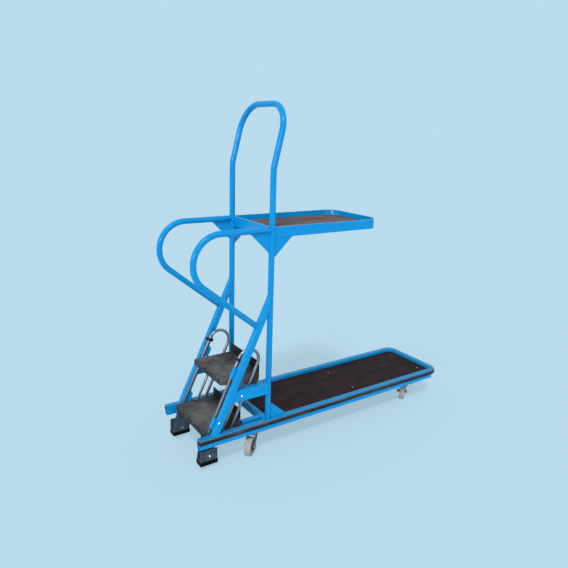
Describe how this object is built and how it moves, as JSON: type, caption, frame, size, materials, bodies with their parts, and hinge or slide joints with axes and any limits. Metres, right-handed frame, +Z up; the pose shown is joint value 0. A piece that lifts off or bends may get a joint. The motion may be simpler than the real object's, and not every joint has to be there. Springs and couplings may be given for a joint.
{
  "type": "order-picking step trolley",
  "caption": "Long low order-picking trolley on swivel castors, with a tubular pushing hoop, a raised shelf, handrails and sprung treads that settle on rubber feet.",
  "frame": {"origin": "on the floor, under the middle of the whole trolley's length and width", "axes": "+X towards the load end of the platform, +Y to the left of somebody climbing the treads towards the load, +Z up"},
  "size_m": [1.756, 0.4806, 1.802],
  "materials": {
    "frame_paint": "semi-gloss powder coat",
    "bumper_rubber": "matt black rubber",
    "deck_plywood": "dark brown film on plywood, satin",
    "shelf_plywood": "brown film on plywood, satin",
    "tread_coating": "rough non-slip coating",
    "black_paint": "satin black",
    "bracket_steel": "dark grey paint, worn",
    "loop_steel": "drawn steel, lightly oxidised",
    "castor_zinc": "zinc plated",
    "castor_tyre": "grey-beige solid rubber, matt",
    "castor_hub": "grey polypropylene"
  },
  "bodies": {
    "frame": {"rail_left": "frame_paint", "rail_right": "frame_paint", "platform_rim": "frame_paint", "bumper": "bumper_rubber", "cross_members": "frame_paint", "castor_bearers": "frame_paint", "deck_board": "deck_plywood", "post_hoop": "frame_paint", "stringer_left": "frame_paint", "stringer_right": "frame_paint", "handrail_left": "frame_paint", "handrail_right": "frame_paint", "braces": "frame_paint", "post_gussets": "frame_paint", "shelf_gussets": "frame_paint", "shelf_rim": "frame_paint", "shelf_cross_plate": "frame_paint", "shelf_board": "shelf_plywood", "step_guides": "frame_paint", "castor_plates": "castor_zinc"},
    "steps": {"tread_lower": "tread_coating", "tread_upper": "tread_coating", "kick_plate_lower": "black_paint", "kick_plate_upper": "black_paint", "step_loop_left": "loop_steel", "step_loop_right": "loop_steel", "stop_collars": "black_paint", "spring_rods": "loop_steel", "foot_brackets": "bracket_steel", "foot_pads": "bumper_rubber"},
    "castor_step_left": {"castor_fork_step_left": "castor_zinc"},
    "castor_wheel_step_left": {"castor_tyre_step_left": "castor_tyre", "castor_hub_step_left": "castor_hub"},
    "castor_step_right": {"castor_fork_step_right": "castor_zinc"},
    "castor_wheel_step_right": {"castor_tyre_step_right": "castor_tyre", "castor_hub_step_right": "castor_hub"},
    "castor_load_left": {"castor_fork_load_left": "castor_zinc"},
    "castor_wheel_load_left": {"castor_tyre_load_left": "castor_tyre", "castor_hub_load_left": "castor_hub"},
    "castor_load_right": {"castor_fork_load_right": "castor_zinc"},
    "castor_wheel_load_right": {"castor_tyre_load_right": "castor_tyre", "castor_hub_load_right": "castor_hub"}
  },
  "joints": [
    {"name": "steps_press", "type": "slide", "parent": "frame", "child": "steps", "axis": [-0.4226, 0, -0.9063], "range_m": [0, 0.02207], "stiffness_N_per_m": 4000, "springref_m": -0.045},
    {"name": "castor_swivel_step_left", "type": "hinge", "parent": "frame", "child": "castor_step_left", "pos_m": [-0.52, 0.173, 0.115], "axis": [0, 0, 1], "continuous": true},
    {"name": "castor_spin_step_left", "type": "hinge", "parent": "castor_step_left", "child": "castor_wheel_step_left", "pos_m": [-0.54911, 0.19743, 0.05], "axis": [-0.6428, -0.766, 0], "continuous": true},
    {"name": "castor_swivel_step_right", "type": "hinge", "parent": "frame", "child": "castor_step_right", "pos_m": [-0.52, -0.173, 0.115], "axis": [0, 0, 1], "continuous": true},
    {"name": "castor_spin_step_right", "type": "hinge", "parent": "castor_step_right", "child": "castor_wheel_step_right", "pos_m": [-0.54911, -0.19743, 0.05], "axis": [0.6428, -0.766, 0], "continuous": true},
    {"name": "castor_swivel_load_left", "type": "hinge", "parent": "frame", "child": "castor_load_left", "pos_m": [0.605, 0.173, 0.115], "axis": [0, 0, 1], "continuous": true},
    {"name": "castor_spin_load_left", "type": "hinge", "parent": "castor_load_left", "child": "castor_wheel_load_left", "pos_m": [0.63324, 0.14757, 0.05], "axis": [0.6691, 0.7431, 0], "continuous": true},
    {"name": "castor_swivel_load_right", "type": "hinge", "parent": "frame", "child": "castor_load_right", "pos_m": [0.605, -0.173, 0.115], "axis": [0, 0, 1], "continuous": true},
    {"name": "castor_spin_load_right", "type": "hinge", "parent": "castor_load_right", "child": "castor_wheel_load_right", "pos_m": [0.63324, -0.14757, 0.05], "axis": [-0.6691, 0.7431, 0], "continuous": true}
  ]
}
